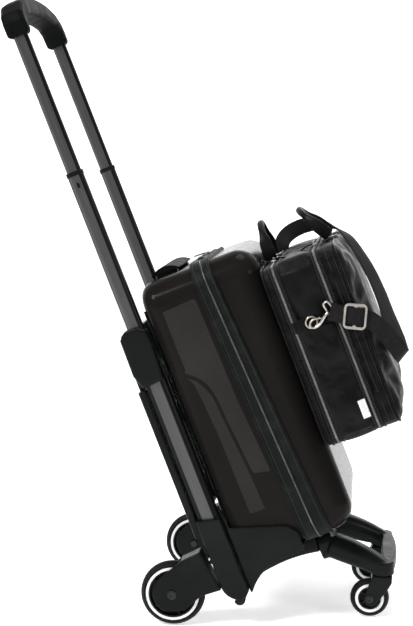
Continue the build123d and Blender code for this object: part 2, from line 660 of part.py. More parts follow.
# The strap's middle line in w, u, y, and the way its width points there, from the right hook to the left.
STRAP_ROUTE = (
    ((433, 383, -200.5), (0.3, 0.95, 0)),
    ((446, 375, -201), (0.35, 0.94, 0)),
    ((466, 363, -203), (0.42, 0.90, 0)),
    ((484, 345, -203.5), (0.45, 0.87, 0)),
    ((496, 321, -198), (0.5, 0.8, 0.1)),
    ((502, 299, -178), (0.4, 0.7, 0.4)),
    ((504, 290, -146), (0.2, 0.5, 0.8)),
    ((504, 300, -108), (0.2, 0.2, 0.95)),
    ((502, 332, -70), (0.3, -0.4, 0.85)),
    ((499, 372, -26), (0.45, -0.5, 0.75)),
    ((494, 410, 14), (0.4, -0.5, 0.75)),
    ((487, 446, 44), (0.4, -0.5, 0.75)),
    ((475, 482, 72), (0.4, -0.5, 0.8)),
    ((450, 506, 98), (0.5, -0.4, 0.9)),
    ((412, 513, 126), (0.6, -0.3, 1)),
    ((380, 512, 156), (0.8, -0.2, 0.9)),
    ((362, 499, 184), (1, 0, 0.6)),
    ((358, 476, 200), (1, 0, 0.2)),
    ((366, 450, 203.5), (1, 0.1, 0.1)),
    ((378, 428, 203.5), (1, 0.3, 0)),
)


def strap_section(k):
    """The strap's cross-section at one point of its route."""
    (w, u, y), width_way = STRAP_ROUTE[k]
    last = len(STRAP_ROUTE) - 1
    (w0, u0, y0), (w1, u1, y1) = STRAP_ROUTE[max(k - 1, 0)][0], STRAP_ROUTE[min(k + 1, last)][0]
    along = at(w1, u1, y1) - at(w0, u0, y0)
    sideways = at(width_way[0], width_way[1], width_way[2]) - at(0, 0)
    square = sideways - along.normalized() * sideways.dot(along.normalized())
    return Plane(at(w, u, y), x_dir=square, z_dir=along)


with BuildPart() as shoulder_strap:
    for k in range(len(STRAP_ROUTE) - 1):
        for j in (k, k + 1):
            with BuildSketch(strap_section(j)):
                Rectangle(STRAP_WIDTH, STRAP_THICK)
        loft(ruled=True)
save(shoulder_strap, "shoulder_strap")

SLIDER_W, SLIDER_U, SLIDER_Y = 455.0, 369.5, -201.6
with BuildPart() as strap_slider:
    with BuildSketch(turned_side(SLIDER_Y, SLIDER_W, SLIDER_U, -26)):
        RectangleRounded(36, 40, 8)
        for x in (-8.2, 8.2):
            with Locations((x, 0)):
                RectangleRounded(13, 32, 3, mode=Mode.SUBTRACT)
    extrude(amount=3.2, both=True)
save(strap_slider, "strap_slider")

HANDLE_HALF = 46.0
HANDLE_STRAP = (24.0, 5.0)


def bag_handle(name, foot_w, foot_u, lean_w, rise):
    """An arched strap handle that stands on the bag's top and leans by lean_w over its rise."""
    up = (U_DIR * rise + W_DIR * lean_w).normalized()
    plane = Plane(at(foot_w, foot_u), x_dir=(0, 1, 0), z_dir=Vector(0, 1, 0).cross(up))
    top = Vector(rise, lean_w).length
    half, thick = HANDLE_HALF, HANDLE_STRAP[1]
    with BuildPart() as handle:
        with BuildSketch(plane):
            with BuildLine():
                ThreePointArc((-half, 0), (0, top), (half, 0))
                Line((half, 0), (half - thick, 0))
                ThreePointArc((half - thick, 0), (0, top - thick), (-half + thick, 0))
                Line((-half + thick, 0), (-half, 0))
            make_face()
        extrude(amount=HANDLE_STRAP[0] / 2, both=True)
    save(handle, name)


bag_handle("bag_handle_rear", 352, BAG_TOP + 4, 2, 64)
bag_handle("bag_handle_front", 456, BAG_TOP + 8, -36, 58)
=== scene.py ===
import json
import math

import bmesh
import bpy
from mathutils import Matrix, Vector, noise
from mathutils.bvhtree import BVHTree

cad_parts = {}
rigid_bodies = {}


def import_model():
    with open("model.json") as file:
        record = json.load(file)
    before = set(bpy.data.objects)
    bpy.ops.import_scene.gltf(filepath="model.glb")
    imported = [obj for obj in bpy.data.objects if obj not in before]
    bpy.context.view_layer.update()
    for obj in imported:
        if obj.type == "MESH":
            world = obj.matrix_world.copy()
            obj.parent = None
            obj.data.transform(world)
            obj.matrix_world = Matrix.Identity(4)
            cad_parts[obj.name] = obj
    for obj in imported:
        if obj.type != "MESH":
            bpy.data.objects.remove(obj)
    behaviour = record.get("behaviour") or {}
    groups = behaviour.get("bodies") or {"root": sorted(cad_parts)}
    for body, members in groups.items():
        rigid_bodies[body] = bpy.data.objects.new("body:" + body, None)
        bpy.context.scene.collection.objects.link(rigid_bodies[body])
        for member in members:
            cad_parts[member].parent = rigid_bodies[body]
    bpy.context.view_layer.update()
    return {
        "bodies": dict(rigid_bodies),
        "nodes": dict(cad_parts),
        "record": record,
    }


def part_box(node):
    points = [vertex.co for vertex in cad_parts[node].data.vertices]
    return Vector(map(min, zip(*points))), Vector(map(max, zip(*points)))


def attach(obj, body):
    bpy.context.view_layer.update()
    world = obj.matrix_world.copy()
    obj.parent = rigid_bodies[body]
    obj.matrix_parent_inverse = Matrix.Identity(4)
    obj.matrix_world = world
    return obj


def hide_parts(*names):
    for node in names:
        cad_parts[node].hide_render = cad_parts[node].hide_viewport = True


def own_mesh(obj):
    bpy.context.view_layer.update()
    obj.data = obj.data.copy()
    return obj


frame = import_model()
NODES = frame["nodes"]

# ---------------------------------------------------------------- the leaning frame
# w runs forward across the tubes, u runs up along them, y is the row frame's. All in metres.
LEAN = math.radians(21)
REAR_AXLE_X = sum(c.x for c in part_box("rear_left_tyre")) / 2
W_DIR = Vector((math.cos(LEAN), 0, math.sin(LEAN)))
U_DIR = Vector((-math.sin(LEAN), 0, math.cos(LEAN)))
Y_DIR = Vector((0, 1, 0))
MM = 0.001
SIDES = ((-1, "right"), (1, "left"))  # the sign of y, and its name


def at(w, u, y=0.0):
    """The point at w, u, y, given in millimetres in the leaning frame."""
    return Vector((REAR_AXLE_X, y * MM, 0)) + W_DIR * (w * MM) + U_DIR * (u * MM)


# ---------------------------------------------------------------- shader helpers
class Shader:
    """One material's nodes, on one Principled shader, in the object's own coordinates."""

    def __init__(self, name, colour, rough, metal=0.0, coat=0.0, sheen=0.0, coat_rough=0.1, specular=0.10):
        self.mat = bpy.data.materials.new(name)
        self.mat.use_nodes = True
        self.nodes, self.links = self.mat.node_tree.nodes, self.mat.node_tree.links
        self.bsdf = self.nodes["Principled BSDF"]
        for key, value in (
            ("Base Color", (*colour, 1)), ("Roughness", rough), ("Metallic", metal), ("Coat Weight", coat),
            ("Specular IOR Level", specular), ("Coat Roughness", coat_rough), ("Sheen Weight", sheen),
        ):
            self.bsdf.inputs[key].default_value = value
        self.mat.diffuse_color = (*colour, 1)
        self.coords = self.nodes.new("ShaderNodeTexCoord").outputs["Object"]
        self.normal = None

    def fed(self, kind, vector, **inputs):
        """A new node of that kind on a vector, with those of its inputs set."""
        node = self.nodes.new(kind)
        self.links.new(vector, node.inputs["Vector"])
        for key, value in inputs.items():
            node.inputs[key].default_value = value
        return node

    def mapped(self, scale=(1, 1, 1), rotation=(0, 0, 0)):
        """The object's coordinates, turned and scaled."""
        return self.fed("ShaderNodeMapping", self.coords, Scale=scale, Rotation=rotation).outputs["Vector"]

    def leaning(self, scale=(1, 1, 1)):
        """Coordinates whose x is w and z is u."""
        turned = self.mapped(rotation=(0, LEAN, 0))
        return self.fed("ShaderNodeMapping", turned, Scale=scale).outputs["Vector"]

    def noise(self, vector, scale, detail=3.0, rough=0.5):
        node = self.fed("ShaderNodeTexNoise", vector, Scale=scale, Detail=detail, Roughness=rough)
        return node.outputs["Fac"]

    def cells(self, vector, scale, feature="F1"):
        node = self.fed("ShaderNodeTexVoronoi", vector, Scale=scale)
        node.feature = feature
        return node.outputs["Distance"]

    def wave(self, vector, scale, direction):
        node = self.fed("ShaderNodeTexWave", vector, Scale=scale)
        node.bands_direction = direction
        return node.outputs["Fac"]

    def math(self, operation, a, b=0.5, c=0.0):
        node = self.nodes.new("ShaderNodeMath")
        node.operation = operation
        for socket, value in zip(node.inputs, (a, b, c)):
            if isinstance(value, (int, float)):
                socket.default_value = value
            else:
                self.links.new(value, socket)
        return node.outputs[0]

    def remap(self, value, low, high, to_low, to_high):
        """value from low..high to to_low..to_high, clamped, with smooth ends."""
        node = self.nodes.new("ShaderNodeMapRange")
        node.interpolation_type = "SMOOTHSTEP"
        self.links.new(value, node.inputs["Value"])
        for key, number in zip(("From Min", "From Max", "To Min", "To Max"), (low, high, to_low, to_high)):
            node.inputs[key].default_value = number
        return node.outputs["Result"]

    def mix(self, factor, a, b):
        node = self.nodes.new("ShaderNodeMix")
        node.data_type = "RGBA"
        self.links.new(factor, node.inputs["Factor"])
        for socket, colour in ((node.inputs["A"], a), (node.inputs["B"], b)):
            if isinstance(colour, tuple):
                socket.default_value = (*colour, 1)
            else:
                self.links.new(colour, socket)
        return node.outputs["Result"]

    def axis(self, vector, letter):
        node = self.nodes.new("ShaderNodeSeparateXYZ")
        self.links.new(vector, node.inputs[0])
        return node.outputs[letter]

    def colour(self, socket):
        self.links.new(socket, self.bsdf.inputs["Base Color"])

    def drifting(self, value, low, high, a, b):
        """The colour goes from a to b as value goes from low to high."""
        self.colour(self.mix(self.remap(value, low, high, 0, 1), a, b))

    def roughness(self, *change):
        """The roughness follows a value from low..high to to_low..to_high."""
        self.links.new(self.remap(*change), self.bsdf.inputs["Roughness"])

    def bump(self, height, strength, distance):
        """Adds one layer of bump over those before it."""
        node = self.nodes.new("ShaderNodeBump")
        node.inputs["Strength"].default_value = strength
        node.inputs["Distance"].default_value = distance
        self.links.new(height, node.inputs["Height"])
        if self.normal:
            self.links.new(self.normal, node.inputs["Normal"])
        self.normal = node.outputs["Normal"]
        self.links.new(self.normal, self.bsdf.inputs["Normal"])


def shade(colour, times, plus=0.0):
    """A colour made lighter or darker."""
    return tuple(c * times + plus for c in colour)


def moulded_plastic(name, dark, light, rough, grain=900.0, specular=0.10):
    """Satin moulded plastic: fine spark-eroded grain, slow colour drift and rubbed patches."""
    s = Shader(name, dark, rough, specular=specular)
    drift = s.noise(s.coords, 9, 4)
    s.drifting(drift, 0.35, 0.7, dark, light)
    rubbed = s.noise(s.coords, 34, 5, 0.6)
    s.roughness(rubbed, 0.3, 0.72, rough + 0.09, rough - 0.08)
    s.bump(s.noise(s.coords, grain, 2), 0.16, 0.0002)
    s.bump(s.cells(s.coords, grain * 1.6), 0.10, 0.00012)
    return s.mat


def tube_metal():
    """Tube metal, brushed lengthwise: a satin grey face between black edges, the dark edges and lighter face
    being a painted reflection of the tube's curved sides.
    """
    s = Shader("tube_painted_reflection", (0.2, 0.205, 0.2), 0.3, metal=0.75)
    across = s.axis(s.leaning(), "X")
    tube_middle = 0.1168  # w of the tubes' middle line, in metres
    away = s.math("ABSOLUTE", s.math("SUBTRACT", across, REAR_AXLE_X * math.cos(LEAN) + tube_middle))
    # painted reflection: 1 on the tube's middle face, falling to 0 towards its curved edges
    face = s.remap(away, 0.0080, 0.0096, 1, 0)
    brushed = s.noise(s.leaning((900, 900, 9)), 1.0, 3)
    grey = s.mix(s.remap(brushed, 0.3, 0.7, 0, 1), (0.075, 0.075, 0.075), (0.10, 0.10, 0.10))
    # painted reflection: near-black edges round the brushed grey face
    s.colour(s.mix(face, (0.012, 0.012, 0.012), grey))
    s.roughness(brushed, 0.2, 0.8, 0.27, 0.42)
    s.bump(brushed, 0.05, 0.0001)
    return s.mat


def steel(name, colour, rough):
    """Plated or turned metal with fine scratches and dulled patches."""
    s = Shader(name, colour, rough, metal=1.0)
    scratch = s.noise(s.mapped((1, 9, 1), (0.4, 0.3, 0.8)), 300, 4, 0.65)
    patch = s.noise(s.coords, 60, 3)
    deep = shade(colour, 0.72)
    s.drifting(patch, 0.3, 0.7, deep, colour)
    s.roughness(scratch, 0.25, 0.75, rough - 0.06, rough + 0.14)
    s.bump(scratch, 0.08, 0.0001)
    return s.mat


def shell_gloss(name="shell_gloss", colour=(0.012, 0.0105, 0.010), rough=0.16):
    """Glossy moulded shell, dark brown-grey, with slight orange peel, dust and fine scuffs."""
    s = Shader(name, colour, rough, coat=0.0, coat_rough=0.04, specular=0.03)
    drift = s.noise(s.coords, 5, 3)
    s.drifting(drift, 0.3, 0.7, shade(colour, 0.8), shade(colour, 1.2))
    scuff = s.noise(s.mapped((1, 1, 5), (0.2, 0.5, 0)), 70, 6, 0.7)
    s.roughness(scuff, 0.35, 0.8, rough - 0.02, rough + 0.07)
    s.bump(s.noise(s.coords, 60, 1), 0.012, 0.0006)
    return s.mat


def rubber(name, colour, rough):
    """Matt rubber with dust in its grain."""
    s = Shader(name, colour, rough)
    dust = s.noise(s.coords, 45, 5, 0.65)
    s.drifting(dust, 0.42, 0.75, colour, shade(colour, 1.9, 0.004))
    s.roughness(dust, 0.3, 0.7, rough, rough + 0.16)
    s.bump(s.noise(s.coords, 700, 3), 0.2, 0.0002)
    return s.mat


def ring_white():
    """Bright white trim with faint road dust."""
    s = Shader("trim_white", (0.86, 0.86, 0.85), 0.25, coat=0.3)
    dust = s.noise(s.coords, 90, 5, 0.7)
    s.drifting(dust, 0.55, 0.82, (0.88, 0.88, 0.87), (0.55, 0.54, 0.52))
    s.roughness(dust, 0.3, 0.8, 0.2, 0.45)
    s.bump(s.noise(s.coords, 400, 2), 0.04, 0.0001)
    return s.mat


def leather(name, colour, rough, grain=420.0):
    """Smooth black leather: cell grain, creases, worn sheen on the high spots."""
    s = Shader(name, colour, rough, sheen=0.02, specular=0.07)
    warp = s.noise(s.coords, 60, 3)
    cells = s.cells(s.coords, grain, "DISTANCE_TO_EDGE")
    fine = s.cells(s.coords, grain * 2.3)
    crease = s.noise(s.mapped((1, 1, 3), (0.3, 0.2, 0.4)), 38, 6, 0.72)
    worn = s.noise(s.coords, 16, 4)
    light = shade(colour, 2.0, 0.003)
    s.drifting(worn, 0.45, 0.78, colour, light)
    s.roughness(warp, 0.3, 0.7, rough - 0.07, rough + 0.1)
    s.bump(s.remap(cells, 0.0, 0.12, 0, 1), 0.22, 0.0003)
    s.bump(fine, 0.10, 0.0002)
    s.bump(crease, 0.16, 0.0012)
    return s.mat


def woven(name, colour, rough, threads=1500.0):
    """Close-woven webbing or tape: over-and-under threads with a little fluff."""
    s = Shader(name, colour, rough, sheen=0.05)
    vector = s.mapped(rotation=(0, LEAN, 0))
    scale = threads / 6.28  # a wave texture counts its bands in radians
    warp, weft, cross = (s.wave(vector, scale, letter) for letter in "ZXY")
    weave = s.math("MAXIMUM", s.math("MAXIMUM", warp, weft), cross)
    fluff = s.noise(s.coords, 260, 4, 0.7)
    light = shade(colour, 2.2, 0.006)
    s.colour(s.mix(s.math("MULTIPLY", weave, s.remap(fluff, 0.3, 0.8, 0.1, 0.8)), colour, light))
    s.bump(weave, 0.35, 0.0004)
    s.bump(fluff, 0.12, 0.0003)
    return s.mat


MATS = {
    "tube": tube_metal(),
    "frame": moulded_plastic("frame_moulded", (0.0045, 0.006, 0.0055), (0.008, 0.010, 0.0095), 0.36),
    "grip": moulded_plastic("grip_moulded", (0.004, 0.0045, 0.0045), (0.007, 0.0075, 0.0075), 0.5, 1200, 0.02),
    "button": moulded_plastic("button_moulded", (0.03, 0.031, 0.031), (0.045, 0.046, 0.046), 0.3, 1500),
    "rim": moulded_plastic("rim_moulded", (0.008, 0.009, 0.009), (0.015, 0.016, 0.016), 0.36, 1300),
    "steel": steel("bolt_steel", (0.045, 0.046, 0.046), 0.34),
    "nickel": steel("warm_nickel", (0.56, 0.52, 0.47), 0.27),
    "shell": shell_gloss(),
    "band": rubber("band_rubberised", (0.004, 0.0055, 0.005), 0.45),
    "tyre": rubber("tyre_rubber", (0.006, 0.0065, 0.0065), 0.5),
    "foot": rubber("foot_rubber", (0.014, 0.014, 0.014), 0.6),
    "white": ring_white(),
    "leather": leather("bag_leather", (0.0045, 0.0045, 0.0047), 0.36),
    "webbing": woven("strap_webbing", (0.0045, 0.0045, 0.0045), 0.68),
    "zip_metal": steel("zip_metal", (0.26, 0.26, 0.255), 0.33),
    "gunmetal": steel("gunmetal", (0.16, 0.16, 0.16), 0.3),
    # the shell's colour made lighter for the raised side plates: painted highlight
    "shell_side_painted_highlight": shell_gloss("shell_side_painted_highlight", (0.028, 0.0255, 0.025), 0.26),
    "lining": woven("case_lining", (0.02, 0.02, 0.021), 0.8, 2600.0),
    "piping": leather("piping_leather", (0.003, 0.003, 0.0032), 0.30, 900.0),
    "thread": woven("thread_grey", (0.035, 0.035, 0.036), 0.6, 6000.0),
    "label": woven("label_white", (0.62, 0.62, 0.61), 0.7, 4200.0),
}

# the slots whose material has another name
SLOT_MATERIAL = {
    "tube_silver": "tube",
    "frame_plastic": "frame",
    "grip_plastic": "grip",
    "button_plastic": "button",
    "trim_white": "white",
    "foot_rubber": "foot",
    "padded_leather": "leather",
}


NODE_SLOTS = {part["node"]: part["material_slot"] for part in frame["record"]["subparts"]}


def dress_cad_nodes():
    """Gives every CAD node its detailed material."""
    for node, slot in NODE_SLOTS.items():
        NODES[node].data.materials.clear()
        NODES[node].data.materials.append(MATS[SLOT_MATERIAL.get(slot, slot)])


dress_cad_nodes()


# ---------------------------------------------------------------- mesh helpers
def linked(name, data):
    """A new object in the scene."""
    obj = bpy.data.objects.new(name, data)
    bpy.context.scene.collection.objects.link(obj)
    return obj


def piece(name, verts, faces, material, body, smooth=True):
    """A new mesh object of that material that rides on a CAD body."""
    data = bpy.data.meshes.new(name)
    data.from_pydata([tuple(v) for v in verts], [], faces)
    data.validate()
    if smooth:
        data.shade_smooth()
    obj = linked(name, data)
    data.materials.append(MATS[material])
    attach(obj, body)
    return obj


def quads(rows, size, wrap=False):
    """Faces between neighbouring rows of size points, each row a loop; wrap joins the last row to the first."""
    faces = []
    for k in range(rows if wrap else rows - 1):
        here, there = k * size, (k + 1) % rows * size
        for j in range(size):
            n = (j + 1) % size
            faces.append((here + j, here + n, there + n, there + j))
    return faces


def circle(radius, count=8):
    """Points round a circle, as a cross-section."""
    turns = [2 * math.pi * k / count for k in range(count)]
    return [(radius * math.cos(t), radius * math.sin(t)) for t in turns]


def outline(half, low, high, corner, step, start=None, stop=None):
    """Evenly spaced (y, u, normal y, normal u) round a rounded rectangle, from its bottom's middle past -y.
    start and stop keep only the part of the way round between them, as fractions."""
    below, above = low + corner, high - corner
    points = [(0, low, 0, -1)]
    for sign, middle, angle in ((-1, below, 270), (-1, above, 180), (1, above, 90), (1, below, 0)):
        for k in range(9):
            turn = math.radians(angle - 90 * k / 8)
            ny, nu = math.cos(turn), math.sin(turn)
            points.append((sign * (half - corner) + corner * ny, middle + corner * nu, ny, nu))
    points.append((0, low, 0, -1))
    lengths = [0.0]
    for a, b in zip(points, points[1:]):
        lengths.append(lengths[-1] + math.hypot(b[0] - a[0], b[1] - a[1]))
    total = lengths[-1]
    first, last = (start or 0) * total, (1 if stop is None else stop) * total
    count = max(int((last - first) / step), 3)
    found, k = [], 0
    for n in range(count if start is None else count + 1):
        along = first + (last - first) * n / count
        while lengths[k + 1] < along - 1e-9 and k < len(points) - 2:
            k += 1
        t = (along - lengths[k]) / max(lengths[k + 1] - lengths[k], 1e-9)
        found.append(tuple(a + (b - a) * t for a, b in zip(points[k], points[k + 1])))
    return found


def ring(name, way, w_of_u, profile, material, body, closed=True):
    """A profile of (outwards, w) swept round an outline, at the w that w_of_u gives."""
    many, size = len(way), len(profile)
    verts = [at(w_of_u(u) + w, u + nu * out, y + ny * out) for y, u, ny, nu in way for out, w in profile]
    faces = quads(many, size, closed)
    if not closed:
        faces += [tuple(range(size)), tuple((many - 1) * size + j for j in reversed(range(size)))]
    piece(name, verts, faces, material, body)


def round_profile(radius, out):
    """A circle as a ring's profile, its middle out from the outline."""
    return [(out + b, a) for a, b in circle(radius)]


def studs(name, way, w_of_u, size, out, material, body, shift=0.0, sink=0.0):
    """Small blocks with narrowed tops along an outline: zip teeth or stitches. size is (along, w, outwards)."""
    verts, faces = [], []
    one = quads(3, 4) + [(8, 9, 10, 11)]
    for k, (y, u, ny, nu) in enumerate(way[:-1]):
        side = shift if k % 2 else -shift
        faces += [tuple(len(verts) + j for j in face) for face in one]
        for out_at, grow in ((out - sink, 1.0), (out + size[2] * 0.7, 1.0), (out + size[2], 0.55)):
            for a, b in ((-1, -1), (1, -1), (1, 1), (-1, 1)):
                along, across = a * size[0] / 2 * grow, b * size[1] / 2 * grow
                place = (u + nu * out_at + ny * along, y + ny * out_at - nu * along)
                verts.append(at(w_of_u(u) + side + across, *place))
    piece(name, verts, faces, material, body, smooth=False)


def lattice(counts, place):
    """Vertices and faces of a box's surface; place turns fractions along its three sides into a point."""
    index, verts, faces = {}, [], []

    def vertex(key):
        if key not in index:
            index[key] = len(verts)
            verts.append(place(*(k / c for k, c in zip(key, counts))))
        return index[key]

    for fixed in range(3):
        p, q = [k for k in range(3) if k != fixed]
        for end in (0, counts[fixed]):
            for i in range(counts[p]):
                for j in range(counts[q]):
                    corner = []
                    for di, dj in ((0, 0), (1, 0), (1, 1), (0, 1)):
                        key = [0, 0, 0]
                        key[fixed], key[p], key[q] = end, i + di, j + dj
                        corner.append(vertex(tuple(key)))
                    faces.append(corner if (end > 0) == (fixed != 1) else corner[::-1])
    return verts, faces, index


def rounded(value, low, high, radius):
    """How far into a rounded corner a coordinate is: (nearest core coordinate, distance from it)."""
    core = min(max(value, low + radius), high - radius)
    return core, value - core


def soft_block(name, box, corner, edges, step, material, body):
    """A soft block in w, y, u with rounded corners across it and rounded rear and front edges.
    Gives the object, its vertices' numbers by lattice place, and the lattice's counts."""
    (w0, w1), (y0, y1), (u0, u1) = box
    counts = [max(int((b - a) / step), 3) for a, b in box]

    def place(a, b, c):
        w, y, u = w0 + (w1 - w0) * a, y0 + (y1 - y0) * b, u0 + (u1 - u0) * c
        yc, dy = rounded(y, y0, y1, corner)
        uc, du = rounded(u, u0, u1, corner)
        reach = math.hypot(dy, du)
        if reach > 1e-6:
            scale = max(abs(dy), abs(du)) / reach
            dy, du = dy * scale, du * scale
        y, u = yc + dy, uc + du
        for edge, end in zip(edges, (w0, w1)):
            if edge and abs(w - end) < edge:
                t = 1 - abs(w - end) / edge
                inset = edge * (1 - math.sqrt(max(1 - t * t, 0)))
                y += (y0 + y1 - 2 * y) / (y1 - y0) * inset
                u += (u0 + u1 - 2 * u) / (u1 - u0) * inset
        return at(w, u, y)

    verts, faces, index = lattice(counts, place)
    return piece(name, verts, faces, material, body), index, counts


CLOTH_FRAMES = 20


def puffed(obj, pins, pressure, cap, slack):
    """Blows the cloth out between its pinned seams, and keeps each point within cap millimetres."""
    obj.vertex_groups.new(name="seams").add(pins, 1.0, "REPLACE")
    cloth = obj.modifiers.new("cloth", "CLOTH")
    setting = cloth.settings
    setting.vertex_group_mass = "seams"
    setting.use_pressure = True
    setting.uniform_pressure_force = pressure
    setting.effector_weights.gravity = 0
    setting.quality = 5
    setting.tension_stiffness = setting.compression_stiffness = 25
    setting.bending_stiffness = 0.6
    setting.shrink_min = -slack
    cloth.point_cache.frame_end = CLOTH_FRAMES
    for number in range(1, CLOTH_FRAMES + 1):
        bpy.context.scene.frame_set(number)
    shaped = obj.evaluated_get(bpy.context.evaluated_depsgraph_get()).data
    places = []
    for old, new in zip(obj.data.vertices, shaped.vertices):
        move = new.co - old.co
        if move.length > cap * MM:
            move *= cap * MM / move.length
        places.append(old.co + move)
    obj.modifiers.remove(cloth)
    for old, place in zip(obj.data.vertices, places):
        old.co = place
    bpy.context.scene.frame_set(1)


def wrinkled(obj, size, depth, seed=0.0, stretch=(1, 1, 1)):
    """Moves each point along its normal by folded noise, in millimetres."""
    normals = [v.normal.copy() for v in obj.data.vertices]
    for v, normal in zip(obj.data.vertices, normals):
        p = Vector(a * b for a, b in zip(v.co, stretch)) / (size * MM) + Vector((seed, seed, seed))
        v.co += normal * ((0.5 - abs(noise.noise(p))) * depth * MM)


def subdivided(obj):
    """Smooths a mesh by one level of subdivision."""
    modifier = obj.modifiers.new("smooth", "SUBSURF")
    modifier.levels = modifier.render_levels = 1


def touching(target, y_side):
    """A function of w and u giving the y, in millimetres, at which a line from one side meets the target."""
    tree = BVHTree.FromObject(target, bpy.context.evaluated_depsgraph_get())
    beyond, reach = 230.0, 0.2  # the line starts at this y, in millimetres, and is this long, in metres

    def meet(w, u):
        hit = tree.ray_cast(at(w, u, y_side * beyond), Vector((0, -y_side, 0)), reach)[0]
        return hit.y / MM if hit else y_side * BAG_HALF

    return meet


# ---------------------------------------------------------------- the laptop bag
BAG_HALF, BAG_LOW, BAG_HIGH, BAG_CORNER = 190.0, 187.0, 486.0, 22.0  # half of y, lowest and highest u
BAG_REAR, ZIP_REAR, ZIP_FRONT, FRONT_SEAM, BAG_FRONT = 338.8, 359.0, 428.5, 461.0, 469.0  # w


def smooth_path(points, per):
    """Points along a smooth line through the given ones, per of them for each span. Works on any tuples."""
    found = []
    for k in range(len(points) - 1):
        p0, p1, p2 = points[max(k - 1, 0)], points[k], points[k + 1]
        p3 = points[min(k + 2, len(points) - 1)]
        for n in range(per):
            t = n / per
            found.append(tuple(
                0.5 * (2 * b + (c - a) * t + (2 * a - 5 * b + 4 * c - d) * t * t
                       + (3 * b - a - 3 * c + d) * t ** 3)
                for a, b, c, d in zip(p0, p1, p2, p3)
            ))
    return found + [tuple(points[-1])]


def swept(name, centres, sides, profiles, material, body):
    """A cross-section of (along side, along up), in millimetres, swept along points.
    sides are its side directions, and profiles is one cross-section or a function of the share of the way."""
    verts, last = [], len(centres) - 1
    for k, (centre, side) in enumerate(zip(centres, sides)):
        along = (centres[min(k + 1, last)] - centres[max(k - 1, 0)]).normalized()
        side = (side - along * side.dot(along)).normalized()
        up = along.cross(side)
        profile = profiles(k / last) if callable(profiles) else profiles
        verts += [centre + side * (a * MM) + up * (b * MM) for a, b in profile]
    size = len(verts) // (last + 1)
    faces = quads(last + 1, size) + [tuple(reversed(range(size))), tuple(last * size + j for j in range(size))]
    return piece(name, verts, faces, material, body)


def line(name, points, radius, material, body, side=None, count=8):
    """A round cord or wire through points of the row frame."""
    return swept(name, points, [side or W_DIR] * len(points), circle(radius, count), material, body)


def wire(name, points, radius, count=8):
    """A nickel wire or bar on the bag."""
    return line(name, points, radius, "nickel", "laptop_bag", side=Y_DIR, count=count)


def flat_profile(width, thick, edge):
    """A flat strap's cross-section with rounded edges."""
    a, b = width / 2, thick / 2
    top = [(-a, b * 0.3), (-a + edge, b), (-a * 0.4, b), (a * 0.4, b), (a - edge, b), (a, b * 0.3)]
    return top + [(x, -y) for x, y in reversed(top)]


def bag_body(name, w0, w1, edges, node, slack, caps, seed, seam_w=()):
    """One compartment: blown out between its seams, then creased."""
    inset = 1.0
    box = ((w0, w1), (-BAG_HALF + inset, BAG_HALF - inset), (BAG_LOW + inset, BAG_HIGH - inset))
    obj, index, counts = soft_block(name, box, BAG_CORNER, edges, 6.0, "leather", "laptop_bag")
    pinned = {0} if w1 == BAG_FRONT else {0, counts[0]}
    pins = [v for key, v in index.items() if key[0] in pinned]
    for w in seam_w:
        row = round((w - w0) / (w1 - w0) * counts[0])
        pins += [v for key, v in index.items() if key[0] == row and (
            key[1] in (0, counts[1]) or key[2] in (0, counts[2]))]
    puffed(obj, sorted(set(pins)), *caps, slack=slack)
    wrinkled(obj, 46, 1.5, seed, (1, 1, 1.6))
    wrinkled(obj, 17, 0.5, seed + 3)
    subdivided(obj)
    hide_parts(node)


def bag_way(start=None, stop=None, step=4.0):
    """The way round the bag, seen along w."""
    return outline(BAG_HALF, BAG_LOW, BAG_HIGH, BAG_CORNER, step, start, stop)


def level(w):
    """The w_of_u of a line at one w."""
    return lambda u: w


def zip_run(name, w):
    """A zip round the bag's sides and top: tapes, two rows of teeth, piping and stitches on both sides."""
    body = "laptop_bag"
    start, stop = 0.105, 0.895  # shares of the way round, so that the bag's bottom is left out
    tooth_pitch, stitch_pitch = 1.25, 3.9
    tape = [(-3, -7), (0.0, -7), (0.3, -6), (0.3, 6), (0.0, 7), (-3, 7)]
    ring(f"{name}_tapes", bag_way(start, stop), level(w), tape, "webbing", body, closed=False)
    studs(f"{name}_teeth", bag_way(start + 0.004, stop - 0.004, tooth_pitch), level(w), (1.5, 2.6, 1.5), 0.3,
          "zip_metal", body, shift=0.55, sink=0.6)
    for side, mark in ((-8.6, "rear"), (8.6, "front")):
        ring(f"{name}_piping_{mark}", bag_way(), level(w + side), round_profile(1.9, 0.2), "piping", body)
    for side, mark in ((-5.2, "rear"), (5.2, "front")):
        studs(f"{name}_stitches_{mark}", bag_way(start, stop, stitch_pitch), level(w + side),
              (2.6, 0.6, 0.45), 0.3, "thread", body, sink=0.3)


def zip_pull(name, w, y, lean):
    """A zip slider on the bag's top with a wire loop and a leather tab that lies to one side."""
    top = BAG_HIGH
    body = "laptop_bag"
    block = ((w - 4.2, w + 4.2), (y - 5.5, y + 5.5), (top + 1.2, top + 5.2))
    soft_block(f"{name}_slider", block, 1.4, (1.2, 1.2), 1.2, "nickel", body)
    arch = []
    for t in (0, 0.25, 0.5, 0.75, 1):
        arch.append(at(w + lean * 4 * t, top + 5 + 3.4 * math.sin(math.pi * (0.15 + 0.85 * t)), y + 2 * t))
    wire(f"{name}_loop", arch, 0.9)
    root = at(w + lean * 3.5, top + 5.2, y + 2)
    down = (W_DIR * lean * 0.9 - U_DIR * 0.12 - Y_DIR * 0.45).normalized()
    centres = [root + down * (k * 3.4 * MM) + U_DIR * (1.2 * MM * math.sin(k * 0.5)) for k in range(9)]
    swept(f"{name}_tab", centres, [Y_DIR] * 9, lambda t: flat_profile(7.5 + 3.5 * min(t * 3, 1), 2.6, 0.9),
          "piping", body)


POCKET_REAR, POCKET_FRONT, POCKET_LOW, POCKET_HIGH = 365, 421, 197, 377  # w, w, u, u


